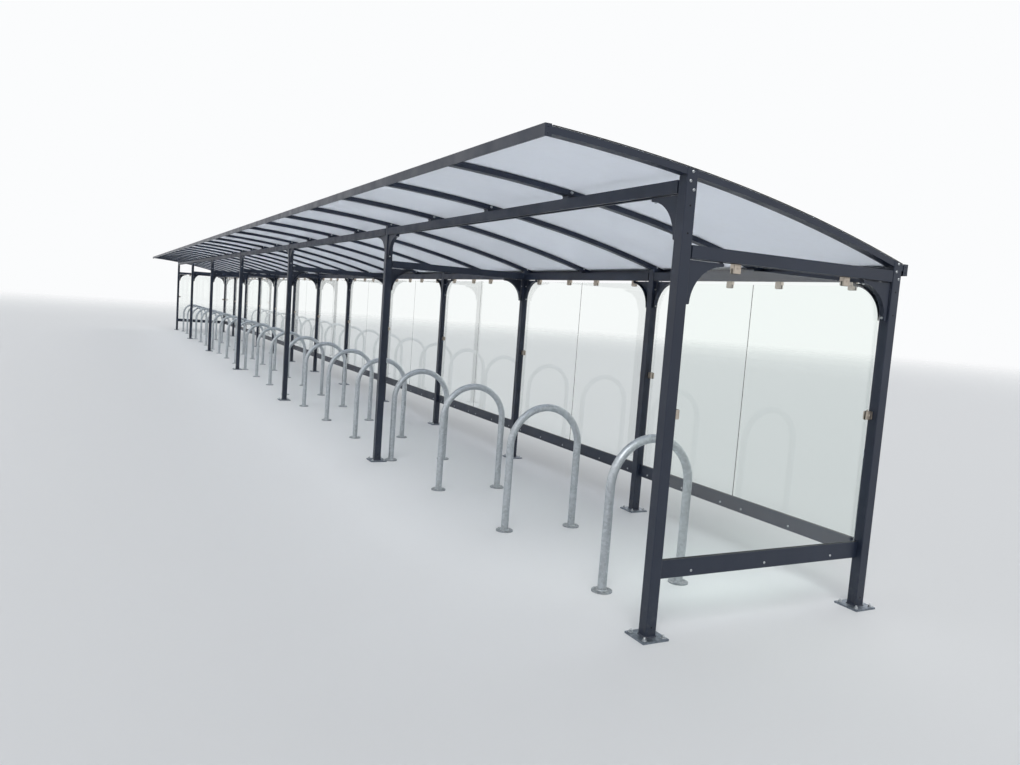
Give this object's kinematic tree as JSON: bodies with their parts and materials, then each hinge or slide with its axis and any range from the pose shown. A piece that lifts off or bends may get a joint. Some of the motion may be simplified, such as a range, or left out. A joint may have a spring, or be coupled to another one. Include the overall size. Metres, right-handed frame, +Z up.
{
  "type": "bike shelter",
  "caption": "Long open-fronted bicycle shelter with a curved opal roof on slim square posts, glass rear wall and gables, and a row of bent tube hoops.",
  "frame": {"origin": "centre of the plan on the ground, under the middle of the bounding box", "axes": "+X along the shelter, -Y towards the open high side, +Y towards the glass rear wall, +Z up"},
  "size_m": [25.35, 2.283, 2.2716],
  "materials": {
    "painted_frame": "satin powder coat",
    "opal_sheet": "smooth translucent polycarbonate",
    "clear_glass": "clear",
    "galvanised_steel": "hot-dip galvanised",
    "stainless_clamps": "satin",
    "black_rubber": "matte"
  },
  "bodies": {
    "root": {"arch_saddles": "painted_frame", "base_plates": "galvanised_steel", "bike_hoops_1": "galvanised_steel", "bike_hoops_2": "galvanised_steel", "bike_hoops_3": "galvanised_steel", "bike_hoops_4": "galvanised_steel", "bike_hoops_5": "galvanised_steel", "bike_hoops_6": "galvanised_steel", "bike_hoops_7": "galvanised_steel", "cover_strips": "painted_frame", "cross_beam_brackets": "painted_frame", "cross_beams": "painted_frame", "eave_profile": "painted_frame", "edge_end_caps": "painted_frame", "frame_arches": "painted_frame", "front_beam": "painted_frame", "front_beam_brackets": "painted_frame", "front_posts": "painted_frame", "gable_glass": "clear_glass", "gable_glass_rails": "painted_frame", "gable_side_clamps": "stainless_clamps", "gable_top_clamps": "stainless_clamps", "glass_gaskets": "black_rubber", "hoop_flanges": "galvanised_steel", "middle_arches": "painted_frame", "rear_beam": "painted_frame", "rear_beam_brackets": "painted_frame", "rear_edge_profile": "painted_frame", "rear_glass_bay_1": "clear_glass", "rear_glass_bay_2": "clear_glass", "rear_glass_bay_3": "clear_glass", "rear_glass_bay_4": "clear_glass", "rear_glass_bay_5": "clear_glass", "rear_glass_bay_6": "clear_glass", "rear_glass_rails": "painted_frame", "rear_posts": "painted_frame", "rear_side_clamps": "stainless_clamps", "rear_top_clamps": "stainless_clamps", "roof_sheets_bay_1": "opal_sheet", "roof_sheets_bay_2": "opal_sheet", "roof_sheets_bay_3": "opal_sheet", "roof_sheets_bay_4": "opal_sheet", "roof_sheets_bay_5": "opal_sheet", "roof_sheets_bay_6": "opal_sheet"}
  },
  "joints": []
}
